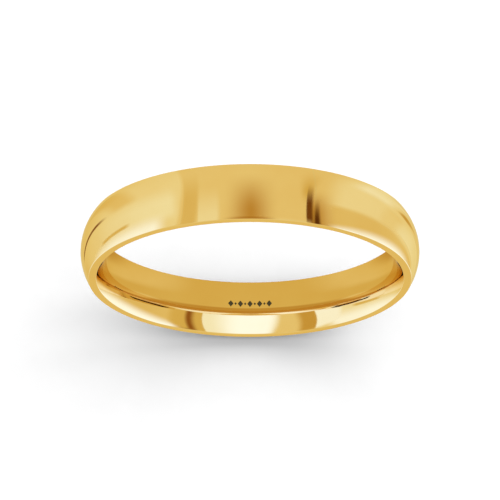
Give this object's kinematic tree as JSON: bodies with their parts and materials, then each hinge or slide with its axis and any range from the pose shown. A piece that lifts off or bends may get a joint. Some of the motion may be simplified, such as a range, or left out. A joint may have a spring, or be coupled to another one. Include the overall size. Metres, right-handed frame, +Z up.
{
  "type": "wedding band",
  "caption": "Plain polished gold finger ring with a domed outside, flat side rims and a comfort-fit bore flared to both mouths.",
  "frame": {"origin": "centre of the finger bore, midway between the side rims", "axes": "+Y along the finger bore's axis, away from the viewer; +Z up as the ring stands upright on its edge; the mark inside the bore is at the bottom (-Z)"},
  "size_m": [0.0204, 0.0036, 0.0205],
  "materials": {
    "gold": "mirror-polished 18 carat yellow gold",
    "solder": "polished hard gold solder, flush with the band",
    "mark_black": "matt black filling of an engraved mark"
  },
  "bodies": {
    "root": {"band": "gold", "solder_seam": "solder", "mark_fill": "mark_black"}
  },
  "joints": []
}
